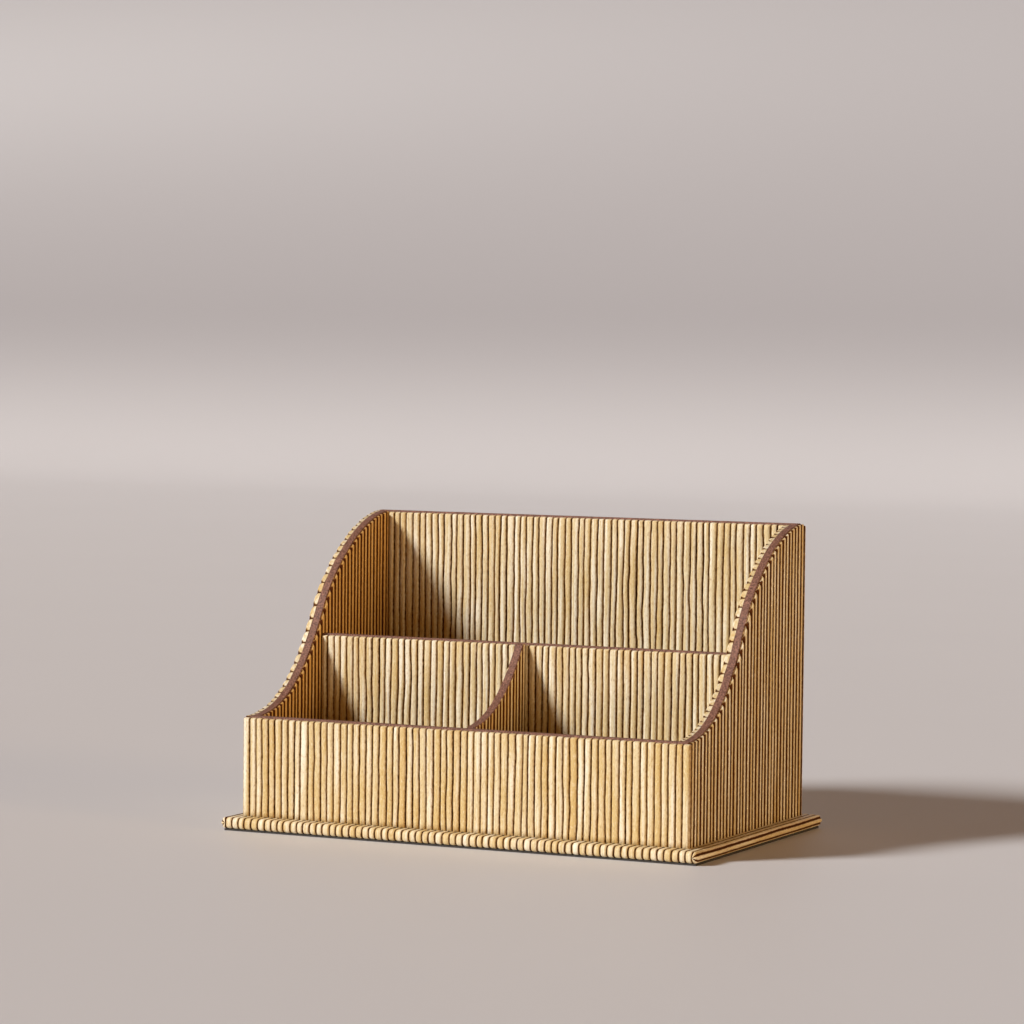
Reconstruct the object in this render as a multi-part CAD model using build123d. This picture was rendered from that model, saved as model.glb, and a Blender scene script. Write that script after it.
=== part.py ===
from build123d import *
import os

# Reed-covered desk organizer: an open box with two dividers on a larger base.
# X runs across the front, Y towards the back and Z up, in millimetres.
# The origin is the middle of the underside.

os.makedirs("parts", exist_ok=True)

# ---- driving dimensions ----------------------------------------------------

box_width = 286.0               # over the outer reeds, left to right
box_depth = 173.0               # over the outer reeds, front to back
base_margin = 9.5               # base that shows outside the box on every side
base_thickness = 7.0            # board and reeds together
pad_thickness = 1.1
pad_inset = 2.0                 # pad edge from the outermost line of the base

front_height = 59.2             # base top to the top of the edge band
divider_height = 103.2
back_height = 174.5

core_thickness = 5.0            # boards of the walls and the long divider
reed_depth = 2.6                # thickness of a wall reed at its crest
reed_crown = 1.6                # how far its round front stands out of its flat sides
cross_core_thickness = 3.6      # the short divider is thinner, with flatter reeds
cross_reed_depth = 1.0
cross_reed_crown = 0.6
band_thickness = 2.0            # brown strip on the top edges
band_proud = 1.0                # strip above the tips of the reeds

long_divider_y = -5.0           # middle plane of the divider that runs side to side
cross_divider_x = 2.0           # middle plane of the divider that runs front to back

# Top line of the side walls: two Bezier spans that leave the front and the back
# panel level and meet at the bend, with their handles' lengths along the line.
bend = (0.0, 124.0)             # Y and the height above the base top
bend_angle = 59.0               # degrees from level
low_handles = (46.0, 37.0)
high_handles = (13.0, 44.0)
span_steps = 8                  # points taken from each span

# Number of reeds in each skin.
front_outer_count = 66
side_outer_count = 35
long_inner_count = 61           # back panel, front panel and long divider, inside
side_inner_count = 38
cross_count = 16
base_count = 69
base_side_count = 3

base_reed_depth = 1.7
base_reed_crown = 1.2
base_reed_return = 10.0         # how far the base reeds run back under the board
base_side_crown = 0.4           # round front of a side reed out of its flat sides

screw_diameter = 2.6
screw_head = 5.4
screw_length = 20.0
brad_diameter = 1.2
brad_length = 20.0

# Places of the screws (X or Y) and of the brads (heights above the base top).
long_wall_screw_x = (-100.0, 0.0, 100.0)
side_wall_screw_y = (-45.0, 35.0)
divider_screw_x = (-70.0, 75.0)
front_corner_brads = (12.0, 45.0)
back_corner_brads = (12.0, 80.0, 150.0)
long_divider_brads = (20.0, 80.0)
cross_front_brads = (18.0, 45.0)
cross_rear_brads = (26.0, 85.0)

# ---- planes worked out from them -------------------------------------------

base_top = pad_thickness + base_thickness
outer_x = box_width / 2
outer_y = box_depth / 2
core_outer_x = outer_x - reed_depth
core_outer_y = outer_y - reed_depth
core_inner_x = core_outer_x - core_thickness
core_inner_y = core_outer_y - core_thickness
inner_x = core_inner_x - reed_depth
inner_y = core_inner_y - reed_depth
base_x = outer_x + base_margin
base_y = outer_y + base_margin
half_core = core_thickness / 2
half_cross_core = cross_core_thickness / 2
nose_radius = base_thickness / 2
nose_z = pad_thickness + nose_radius
board_nose = nose_radius - base_reed_depth
mat_x = base_x - nose_radius    # the side noses begin here
mat_y = base_y - nose_radius

FACING = {"front": 0, "right": 90, "back": 180, "left": -90}


def block(x_range, y_range, z_range):
    """A box between three pairs of coordinates."""
    size = [high - low for low, high in (x_range, y_range, z_range)]
    middle = [(high + low) / 2 for low, high in (x_range, y_range, z_range)]
    return Pos(*middle) * Box(*size)


# ---- the S-curve of the side walls -----------------------------------------

def side_profile(drop):
    """Side wall outline in the YZ plane, its top line set in by drop."""
    start = Vector(-outer_y, front_height)
    middle = Vector(*bend)
    end = Vector(outer_y, back_height)
    slope = Vector(1, 0).rotate(Axis.Z, bend_angle)
    level = Vector(1, 0)
    low = Bezier(start, start + level * low_handles[0], middle - slope * low_handles[1], middle)
    high = Bezier(middle, middle + slope * high_handles[0], end - level * high_handles[1], end)
    points = []
    for span in (low, high):
        for step in range(span_steps):
            place = step / span_steps
            tangent = span % place
            points.append(span @ place + Vector(tangent.Y, -tangent.X) * drop)
    points.append(end - Vector(0, drop))
    line = Spline(*points, tangents=[level, level])
    foot = Polyline(line @ 1, (outer_y, 0), (-outer_y, 0), line @ 0)
    return make_face(line + foot)


def side_solid(drop, x_range):
    """The side wall outline as a solid between two X planes, standing on the base."""
    face = Plane.YZ.offset(x_range[0]) * side_profile(drop)
    return Pos(0, 0, base_top) * extrude(face, amount=x_range[1] - x_range[0])


# ---- fasteners ---------------------------------------------------------------

def base_screw(x, y):
    """Countersunk screw, its head flush with the underside of the base board."""
    cone = (screw_head - screw_diameter) / 2
    half = screw_diameter / 2
    side = Polyline((0, 0), (half + cone, 0), (half, cone), (half, screw_length - cone), (0, screw_length))
    outline = make_face(side + Line((0, screw_length), (0, 0)))
    screw = revolve(Plane.XZ * outline, axis=Axis.Z)
    return Pos(x, y, pad_thickness) * screw


def brad(x, y, height, facing):
    """Headless pin driven in from the point given, away from the way it faces."""
    from_head = (Align.CENTER, Align.CENTER, Align.MIN)
    pin = Rot(-90, 0, 0) * Cylinder(brad_diameter / 2, brad_length, align=from_head)
    return Pos(x, y, base_top + height) * Rot(0, 0, FACING[facing]) * pin


wall_line_x = core_outer_x - half_core
wall_line_y = core_outer_y - half_core

screws = []
for x in long_wall_screw_x:
    screws.append(base_screw(x, -wall_line_y))
    screws.append(base_screw(x, wall_line_y))
for x in (-wall_line_x, wall_line_x):
    for y in side_wall_screw_y:
        screws.append(base_screw(x, y))
for x in divider_screw_x:
    screws.append(base_screw(x, long_divider_y))

brads = []
for x in (-wall_line_x, wall_line_x):
    for height in front_corner_brads:
        brads.append(brad(x, -core_outer_y, height, "front"))
    for height in back_corner_brads:
        brads.append(brad(x, core_outer_y, height, "back"))
for height in long_divider_brads:
    brads.append(brad(-core_outer_x, long_divider_y, height, "left"))
    brads.append(brad(core_outer_x, long_divider_y, height, "right"))
for height in cross_front_brads:
    brads.append(brad(cross_divider_x, -core_outer_y, height, "front"))
for height in cross_rear_brads:
    brads.append(brad(cross_divider_x, long_divider_y + half_core, height, "back"))

fasteners = [(item, item.bounding_box()) for item in screws + brads]


def drilled(solid):
    """The solid with a hole for each screw and brad that reaches it."""
    box = solid.bounding_box()
    for item, reach in fasteners:
        apart = (
            reach.min.X > box.max.X or reach.max.X < box.min.X
            or reach.min.Y > box.max.Y or reach.max.Y < box.min.Y
            or reach.min.Z > box.max.Z or reach.max.Z < box.min.Z
        )
        if not apart:
            solid = solid - item
    return solid


# ---- wall boards and edge bands ----------------------------------------------

def board(x_range, y_range, height):
    """Upright board with a straight top, its edge band's thickness below the height."""
    return drilled(block(x_range, y_range, (base_top, base_top + height - band_thickness)))


def straight_band(x_range, y_range, height):
    """Strip on the top edge of a straight board."""
    top = base_top + height
    return block(x_range, y_range, (top - band_thickness, top))


across_outer = (-core_outer_x, core_outer_x)
across_inner = (-inner_x, inner_x)
front_y = (-core_outer_y, -core_inner_y)
back_y = (core_inner_y, core_outer_y)
long_y = (long_divider_y - half_core, long_divider_y + half_core)
cross_x = (cross_divider_x - half_cross_core, cross_divider_x + half_cross_core)
cross_y = (-inner_y, long_y[0] - reed_depth)
full_height = (base_top, base_top + back_height)
left_x = (-core_outer_x, -core_inner_x)
right_x = (core_inner_x, core_outer_x)
side_y = (-core_inner_y, core_inner_y)


def side_board(x_range):
    """Side wall board, between the front and the back board."""
    return drilled(side_solid(band_thickness, x_range) & block(x_range, side_y, full_height))


def side_band(x_range):
    """Strip that follows the S-curve along the top edge of a side board."""
    strip = side_solid(0.0, x_range) - side_solid(band_thickness, x_range)
    return strip & block(x_range, side_y, full_height)


def cross_limit(drop):
    """Space below the cross divider's top line: the S-curve, level at the long divider."""
    top = base_top + divider_height - drop
    return side_solid(drop, (-inner_x, inner_x)) & block(across_inner, cross_y, (base_top, top))


def slice_x(solid, x_range):
    """The part of a solid between two X planes."""
    return solid & block(x_range, side_y, full_height)


# ---- reeds -------------------------------------------------------------------

def reed_section(width, depth, crown):
    """Flat-backed reed section: back on the X axis, crest towards -Y."""
    half = width / 2
    shoulder = crown - depth
    sides = Polyline((half, shoulder), (half, 0), (-half, 0), (-half, shoulder))
    front = ThreePointArc((-half, shoulder), (0, -depth), (half, shoulder))
    return make_face(sides + front)


def upright_reed(width, depth, crown, height):
    """Reed that stands on the XY plane and faces -Y, its tip rounded over."""
    stem = extrude(reed_section(width, depth, crown), amount=height)
    neck = height - depth
    side = Polyline((0, height), (0, 0), (-depth, 0), (-depth, neck))
    tip = RadiusArc((-depth, neck), (0, height), depth)
    limit = extrude(Plane.YZ * make_face(side + tip), amount=width, both=True)
    return stem & limit


def reed_row(facing, plane, along, count, height, limit=None, depth=reed_depth, crown=reed_crown):
    """Reeds side by side on a wall face, each a solid of its own."""
    pitch = (along[1] - along[0]) / count
    reed = upright_reed(pitch, depth, crown, height)
    row = []
    for index in range(count):
        place = along[0] + pitch * (index + 0.5)
        x, y = (place, plane) if facing in ("front", "back") else (plane, place)
        piece = Pos(x, y, base_top) * Rot(0, 0, FACING[facing]) * reed
        if limit is not None:
            piece = piece & limit
        row.append(drilled(piece))
    return row


def cross_reed_row(facing, plane):
    """Reeds on one face of the cross divider, their tips below its edge band."""
    return reed_row(facing, plane, cross_y, cross_count, divider_height, cross_limit(band_proud),
                    cross_reed_depth, cross_reed_crown)


def base_mat():
    """Reeds that run over the base from front to back and turn under both noses."""
    pitch = 2 * mat_x / base_count
    low = nose_z - board_nose
    high = nose_z + board_nose
    start = mat_y - base_reed_return
    front_under = Line((0, -start, low), (0, -mat_y, low))
    front_nose = ThreePointArc((0, -mat_y, low), (0, -mat_y - board_nose, nose_z), (0, -mat_y, high))
    over = Line((0, -mat_y, high), (0, mat_y, high))
    back_nose = ThreePointArc((0, mat_y, high), (0, mat_y + board_nose, nose_z), (0, mat_y, low))
    back_under = Line((0, mat_y, low), (0, start, low))
    path = front_under + front_nose + over + back_nose + back_under
    plane = Plane(origin=(0, -start, low), x_dir=(1, 0, 0), z_dir=(0, -1, 0))
    reed = sweep(plane * reed_section(pitch, base_reed_depth, base_reed_crown), path=path)
    row = []
    for index in range(base_count):
        x = -mat_x + pitch * (index + 0.5)
        row.append(drilled(Pos(x, 0, 0) * reed))
    return row


def base_side_reeds(side):
    """Lengthwise reeds round a side nose of the base; side is 1 for right, -1 for left."""
    angle = 180 / base_side_count
    shoulder = nose_radius - base_side_crown
    row = []
    for index in range(base_side_count):
        start = -90 + angle * index
        corners = []
        for radius, turn in ((board_nose, 0), (shoulder, 0), (nose_radius, 0.5), (shoulder, 1),
                             (board_nose, 1), (board_nose, 0.5)):
            point = Vector(radius, 0).rotate(Axis.Z, start + angle * turn)
            corners.append((side * point.X, point.Y))
        inner_a, outer_a, crest, outer_b, inner_b, inner_mid = corners
        outline = Line(inner_a, outer_a) + ThreePointArc(outer_a, crest, outer_b)
        outline += Line(outer_b, inner_b) + ThreePointArc(inner_b, inner_mid, inner_a)
        reed = extrude(Plane.XZ * make_face(outline), amount=base_y, both=True)
        row.append(Pos(side * mat_x, 0, nose_z) * reed)
    return row


# ---- base ----------------------------------------------------------------------

def base_board():
    """Board of the base: rounded on all four edges, rebated for the turned-under reeds."""
    low = nose_z - board_nose
    high = nose_z + board_nose
    full = block((-mat_x, mat_x), (-mat_y, mat_y), (low, high))
    start = mat_y - base_reed_return
    full += block((-mat_x, mat_x), (-start, start), (pad_thickness, low))
    long_nose = Rot(0, 90, 0) * Cylinder(board_nose, 2 * mat_x)
    side_nose = Rot(90, 0, 0) * Cylinder(board_nose, 2 * mat_y)
    for end in (-1, 1):
        full += Pos(0, end * mat_y, nose_z) * long_nose
        full += Pos(end * mat_x, 0, nose_z) * side_nose
    return drilled(full)


def underside_pad():
    """Thin sheet that the organizer stands on."""
    half_x = base_x - pad_inset
    half_y = base_y - pad_inset
    return block((-half_x, half_x), (-half_y, half_y), (0.0, pad_thickness))


# ---- all nodes -------------------------------------------------------------------

front_tip = front_height - band_proud
divider_tip = divider_height - band_proud
back_tip = back_height - band_proud
outer_run = (-core_outer_y, core_outer_y)
inner_run = (-core_inner_y, core_inner_y)
side_limit = side_solid(band_proud, (-outer_x, outer_x))

nodes = {
    "base_board": base_board(),
    "base_reed_mat": base_mat(),
    "base_left_reeds": base_side_reeds(-1),
    "base_right_reeds": base_side_reeds(1),
    "underside_pad": underside_pad(),
    "front_panel": board(across_outer, front_y, front_height),
    "back_panel": board(across_outer, back_y, back_height),
    "left_side": side_board(left_x),
    "right_side": side_board(right_x),
    "long_divider": board(across_inner, long_y, divider_height),
    "cross_divider": drilled(slice_x(cross_limit(band_thickness), cross_x)),
    "front_edge_band": straight_band(across_outer, front_y, front_height),
    "back_edge_band": straight_band(across_outer, back_y, back_height),
    "left_edge_band": side_band(left_x),
    "right_edge_band": side_band(right_x),
    "long_divider_band": straight_band(across_inner, long_y, divider_height),
    "cross_divider_band": slice_x(cross_limit(0.0) - cross_limit(band_thickness), cross_x),
    "front_outer_reeds": reed_row(
        "front", -core_outer_y, (-outer_x, outer_x), front_outer_count, front_tip),
    "front_inner_reeds": reed_row(
        "back", -core_inner_y, across_inner, long_inner_count, front_tip),
    "back_outer_reeds": reed_row(
        "back", core_outer_y, (-outer_x, outer_x), front_outer_count, back_tip),
    "back_inner_reeds": reed_row(
        "front", core_inner_y, across_inner, long_inner_count, back_tip),
    "left_outer_reeds": reed_row(
        "left", -core_outer_x, outer_run, side_outer_count, back_height, side_limit),
    "left_inner_reeds": reed_row(
        "right", -core_inner_x, inner_run, side_inner_count, back_height, side_limit),
    "right_outer_reeds": reed_row(
        "right", core_outer_x, outer_run, side_outer_count, back_height, side_limit),
    "right_inner_reeds": reed_row(
        "left", core_inner_x, inner_run, side_inner_count, back_height, side_limit),
    "divider_front_reeds": reed_row(
        "front", long_y[0], across_inner, long_inner_count, divider_tip),
    "divider_rear_reeds": reed_row(
        "back", long_y[1], across_inner, long_inner_count, divider_tip),
    "cross_left_reeds": cross_reed_row("left", cross_x[0]),
    "cross_right_reeds": cross_reed_row("right", cross_x[1]),
    "base_screws": screws,
    "carcass_brads": brads,
}

for name, shape in nodes.items():
    solids = shape if isinstance(shape, list) else [shape]
    group = [solid for item in solids for solid in item.solids()]
    export_step(Compound(children=group) if len(group) > 1 else group[0], f"parts/{name}.step")
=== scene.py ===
import bpy
import math
from collections import namedtuple
import numpy as np
from mathutils import Matrix, Vector


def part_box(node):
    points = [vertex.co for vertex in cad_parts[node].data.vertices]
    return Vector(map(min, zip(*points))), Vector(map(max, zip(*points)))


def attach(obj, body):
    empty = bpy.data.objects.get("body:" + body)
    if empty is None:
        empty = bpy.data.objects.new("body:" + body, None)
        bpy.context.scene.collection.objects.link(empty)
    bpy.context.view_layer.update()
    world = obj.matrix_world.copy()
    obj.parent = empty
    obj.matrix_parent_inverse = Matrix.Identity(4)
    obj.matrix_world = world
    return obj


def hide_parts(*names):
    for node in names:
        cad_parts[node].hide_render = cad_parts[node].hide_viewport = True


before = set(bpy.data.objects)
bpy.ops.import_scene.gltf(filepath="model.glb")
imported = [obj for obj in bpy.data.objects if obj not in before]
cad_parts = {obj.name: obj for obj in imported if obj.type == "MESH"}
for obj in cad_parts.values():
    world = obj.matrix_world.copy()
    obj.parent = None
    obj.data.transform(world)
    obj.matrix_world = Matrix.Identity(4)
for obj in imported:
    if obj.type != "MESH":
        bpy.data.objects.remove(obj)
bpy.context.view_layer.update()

MM = 0.001

# ---- sizes read from the frame -------------------------------------------------


def span(node, axis):
    """Lowest and highest coordinate of a CAD node along one axis (0, 1 or 2)."""
    low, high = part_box(node)
    return low[axis], high[axis]


BASE_TOP = span("front_panel", 2)[0]
FRONT_BAND_TOP = span("front_edge_band", 2)[1]
DIVIDER_BAND_TOP = span("long_divider_band", 2)[1]
BACK_BAND_TOP = span("back_edge_band", 2)[1]
BAND_THICKNESS = span("front_edge_band", 2)[1] - span("front_edge_band", 2)[0]
OUTER_X = span("front_outer_reeds", 0)[1]
OUTER_Y = span("back_outer_reeds", 1)[1]
CORE_OUTER_X = span("front_panel", 0)[1]
CORE_OUTER_Y = span("back_panel", 1)[1]
CORE_INNER_X = span("right_side", 0)[0]
CORE_INNER_Y = span("back_panel", 1)[0]
INNER_X = span("right_inner_reeds", 0)[0]
BASE_Y = span("base_right_reeds", 1)[1]
PAD_TOP = span("underside_pad", 2)[1]
MAT_X = span("base_reed_mat", 0)[1]
REED_DEPTH = OUTER_X - CORE_OUTER_X
BASE_REED_DEPTH = 1.7 * MM

# ---- the S-curve of the side walls ---------------------------------------------
# The CAD side walls' top line: two Bezier spans that meet at BEND.

BEND = (0.0, BASE_TOP + 124.0 * MM)
BEND_ANGLE = math.radians(59.0)
LOW_HANDLES = (46.0 * MM, 37.0 * MM)
HIGH_HANDLES = (13.0 * MM, 44.0 * MM)


def bezier(p0, p1, p2, p3, steps):
    """Points along one cubic Bezier span."""
    t = np.linspace(0.0, 1.0, steps)[:, None]
    corners = [np.array(p) for p in (p0, p1, p2, p3)]
    weights = ((1 - t) ** 3, 3 * (1 - t) ** 2 * t, 3 * (1 - t) * t ** 2, t ** 3)
    return sum(w * c for w, c in zip(weights, corners))


def s_curve(steps=80):
    """Points (y, z) of the side walls' top line from front to back."""
    cos, sin = math.cos(BEND_ANGLE), math.sin(BEND_ANGLE)
    start, end = (-OUTER_Y, FRONT_BAND_TOP), (OUTER_Y, BACK_BAND_TOP)
    low_a = (start[0] + LOW_HANDLES[0], start[1])
    low_b = (BEND[0] - cos * LOW_HANDLES[1], BEND[1] - sin * LOW_HANDLES[1])
    high_a = (BEND[0] + cos * HIGH_HANDLES[0], BEND[1] + sin * HIGH_HANDLES[0])
    high_b = (end[0] - HIGH_HANDLES[1], end[1])
    low = bezier(start, low_a, low_b, BEND, steps)
    high = bezier(BEND, high_a, high_b, end, steps)
    return np.vstack([low, high[1:]])


CURVE = s_curve()
CURVE_SLOPE = np.gradient(CURVE[:, 1], CURVE[:, 0])


def curve_height(y):
    """Height of the S-curve above the floor at depth y."""
    return np.interp(y, CURVE[:, 0], CURVE[:, 1])


def curve_slope(y):
    """Slope dz/dy of the S-curve at depth y."""
    return np.interp(y, CURVE[:, 0], CURVE_SLOPE)


# ---- mesh helpers ----------------------------------------------------------------

def new_object(name, vertices, faces, material, attributes=None, smooth=True):
    """Mesh object from vertices in metres, with float or vector point attributes."""
    mesh = bpy.data.meshes.new(name)
    mesh.from_pydata([tuple(v) for v in vertices], [], faces)
    for key, values in (attributes or {}).items():
        values = np.asarray(values, dtype=np.float32)
        kind, field = ("FLOAT", "value") if values.ndim == 1 else ("FLOAT_VECTOR", "vector")
        layer = mesh.attributes.new(key, kind, "POINT")
        layer.data.foreach_set(field, values.ravel())
    mesh.polygons.foreach_set("use_smooth", [smooth] * len(mesh.polygons))
    mesh.materials.append(material)
    mesh.update()
    obj = bpy.data.objects.new(name, mesh)
    bpy.context.scene.collection.objects.link(obj)
    return obj


def smooth_noise(x, y, seed):
    """Smooth value noise in about -1 to 1 at unit spacing, the same every run."""
    size = 256
    grid = np.random.default_rng(seed).uniform(-1.0, 1.0, (size, size))
    xi, yi = np.floor(x).astype(int), np.floor(y).astype(int)
    fx, fy = x - xi, y - yi
    fx, fy = fx * fx * (3 - 2 * fx), fy * fy * (3 - 2 * fy)

    def corner(a, b):
        return grid[a % size, b % size]

    low = corner(xi, yi) * (1 - fx) + corner(xi + 1, yi) * fx
    high = corner(xi, yi + 1) * (1 - fx) + corner(xi + 1, yi + 1) * fx
    return low * (1 - fy) + high * fy


def tube_sides(first, rings, size):
    """Quads between neighbouring rings of size points each; first is the first ring's first point."""
    faces = []
    for ring in range(rings - 1):
        a, b = first + ring * size, first + (ring + 1) * size
        for k in range(size):
            n = (k + 1) % size
            faces.append((a + k, a + n, b + n, b + k))
    return faces


# ---- one reed --------------------------------------------------------------------
# A reed's ring runs across its front, from the left groove over the round arch to the right
# groove, and closes over two back corners. Its "edge" says how dark each point is painted: 0 is
# bare cane and 1 the dark of a groove, a real stain deepened by painted shade, with painted
# shade on the flanks between.

ARCH = np.sin(np.linspace(-1.0, 1.0, 13) * math.pi / 2)        # across the round front, -1 to 1
TIP_STEPS = np.array([1.0, 0.85, 0.7, 0.55, 0.42, 0.3, 0.2, 0.11, 0.04, 0.0])
ROW_STEP = 3.6 * MM                                             # between a wall reed's rings
TIP_DROP = 0.25 * MM                                            # the tip's sides fall away this much

RING_EDGE = np.concatenate([[1.1], np.abs(ARCH), [1.1, 1.1, 1.1]])
RING_RIGHT = np.concatenate([[False], ARCH > 0, [True, False, False]])
RING_LEFT = np.concatenate([[True], ARCH < 0, [False, False, False]])

# How much of the stain and painted shade stays on the rim of a reed's cut end: all of it beside the
# grooves.
CUT_STAIN_AND_SHADE = np.concatenate([[1.1], np.where(np.abs(ARCH) > 0.9, 1.0, 0.42), [1.1, 1.0, 1.0]])
CUT_INSET = 0.80                # size of the inner ring of a cut end, as a share of the rim
PLAIN_CUT = 0.6                 # stain and painted shade inside the rim of most cut ends


def section_across(cover):
    """Places across a reed, -1 to 1: the arch takes the share `cover`, flat shoulders the rest."""
    return np.concatenate([[-1.0], ARCH * cover, [1.0]])


def section_out(floor, crest, squareness):
    """Thickness at those places; floor and crest may vary along the reed."""
    arch = (1 - np.abs(ARCH) ** squareness) ** 0.5
    return floor + (crest - floor) * np.concatenate([[0.0], arch, [0.0]])


class ReedMesh:
    """Collects closed reeds, each a tube of rings, into one mesh with its attributes."""

    def __init__(self):
        self.vertices, self.faces = [], []
        self.edge, self.tone, self.grain = [], [], []
        self.count = 0

    def add(self, rings, edge, tone, grain, cut_edge):
        """rings is (rows, ring points, 3); edge and grain have the same leading sizes.

        The cut end has two rings of its own: its rim, darkened by stain and painted shade, and an inner
        one darkened by cut_edge.
        """
        rows, size = rings.shape[:2]
        first = self.count
        rim = first + rows * size
        inner = rim + size
        middle = rings[-1].mean(axis=0)
        self.vertices += [rings.reshape(-1, 3), rings[-1], middle + (rings[-1] - middle) * CUT_INSET]
        self.edge += [edge.reshape(-1), edge[-1] * CUT_STAIN_AND_SHADE, np.full(size, cut_edge)]
        self.grain += [grain.reshape(-1, 3), grain[-1], grain[-1]]
        self.tone.append(np.full((rows + 2) * size, tone))
        self.faces += tube_sides(first, rows, size)
        self.faces.append(tuple(first + k for k in reversed(range(size))))
        self.faces += tube_sides(rim, 2, size)
        self.faces.append(tuple(inner + k for k in range(size)))
        self.count += (rows + 2) * size

    def build(self, name, material):
        attributes = {
            "edge": np.concatenate(self.edge),
            "tone": np.concatenate(self.tone),
            "grain": np.concatenate(self.grain),
        }
        return new_object(name, np.concatenate(self.vertices), self.faces, material, attributes)


# ---- wavering of the reeds ---------------------------------------------------------

Wave = namedtuple("Wave", "pace length share")
# pace is the step from one groove to the next, length is measured along the reed, and share
# is the wave's height as a share of the pitch.
SLOW = Wave(0.31, 42 * MM, 0.075)
MIDDLING = Wave(0.83, 19 * MM, 0.075)
FINE = Wave(1.9, 9 * MM, 0.05)
KINKS = Wave(2.7, 4 * MM, 0.03)
CALM = Wave(0.17, 60 * MM, 0.55)        # how much the other waves differ from place to place
CALM_MIDDLE = 0.85
MAT_SLOW = Wave(0.31, 35 * MM, 0.07)
MAT_FINE = Wave(1.7, 11 * MM, 0.04)

SLOW_OFFSET = 3.0               # start of two waves, apart from the others
MIDDLING_OFFSET = 9.0
END_HOLD = 1.5                  # grooves this near to a skin's end waver less


def wave(shape, index, along, seed, offset=0.0, shift=0.0):
    """Sideways drift of groove number index at the places along it, as a share of the pitch."""
    return shape.share * smooth_noise(index * shape.pace + offset, along / shape.length + shift, seed)


def steadiness(index, count):
    """0 at the two ends of a skin and 1 well inside it."""
    return min(1.0, index / END_HOLD, (count - index) / END_HOLD)


# ---- a wall's skin of reeds --------------------------------------------------------

GROOVE_JITTER = 0.065           # spread of the grooves' places, as a share of the pitch
TIP_SPREAD = 0.12               # spreads of the tips' heights and of the crests, in mm
CREST_SPREAD = 0.10
REACH_SPREAD = 0.05             # spread of how far the stain reaches
SQUARENESS = (2.4, 3.2)         # a reed's front is rounder at the low end of this range
SWELL = 0.09 * MM               # slow change of the crest along a reed
SWELL_LENGTH = 27 * MM
SWELL_STEP = 7.7                # keeps neighbours' swells apart
THIN_EDGE = 0.2 * MM            # thickness that a tip closes to
LEVEL_TIP = 0.4                 # a sloped skin's tips are this share of their size where it is level
FULL_ROUNDING = 0.9             # rounding of a tip at the reed's sides
FLATTEST_SIDE = 0.995           # keeps the rounding's slope finite at the sides
GRAIN_STEP = 0.0137             # keeps neighbours' grain apart, in metres
MAT_GRAIN_STEP = 0.0117
GRAIN_RANGE = 9.0               # a reed's grain starts anywhere in this length, in metres
PLAIN_EDGE = 0.78               # strongest stain and painted shade on the side of a plain end reed

# The looks of a skin:
#   depth       how far the crests stand out of the board
#   cover       share of the pitch under the round arch
#   floor       thickness left in the grooves
#   tuck        how far the reeds' backs reach behind the board's face
#   tip_radius  height of the rounded tip, and tip_power its roundness
#   stain  how far the dark stain and painted shade reach up from the grooves, tip_stain the same at the
#   tips
#   waviness    how much the grooves wander
#   plain_ends  whether the outer sides of the end reeds are left plain
#   warm  added to every reed's tone: painted shade that darkens and reddens the skins in shade, and below
#   0 lightens lit ones
#   closing     how far the tips close, 1 down to the thin edge
#   cut_edge    stain and painted shade inside the rim of the cut ends, darker on tips in shade
Style = namedtuple("Style", "depth cover floor tuck tip_radius tip_power stain tip_stain waviness "
                            "plain_ends warm closing cut_edge")


def ring_heights(tip, radius):
    """Heights of a reed's rings, and each ring's place under the tip: 1 in the body, 0 at the tip."""
    body_top = tip - radius
    rows = max(2, int(np.ceil(body_top.min() / ROW_STEP)))
    lower = np.linspace(0.0, 1.0, rows, endpoint=False)[:, None] * body_top[None, :]
    upper = tip[None, :] - TIP_STEPS[:, None] * radius[None, :]
    return np.vstack([lower, upper]), np.concatenate([np.full(rows, 1.0), TIP_STEPS])


def with_backs(u, v, w, back):
    """Adds the two back corners to rings of places along the run, heights and thicknesses."""
    back_u = np.stack([u[:, -1], u[:, 0]], axis=1)
    back_v = np.stack([v[:, -1], v[:, 0]], axis=1)
    back_w = np.full((len(u), 2), back)
    return np.hstack([u, back_u]), np.hstack([v, back_v]), np.hstack([w, back_w])


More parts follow.
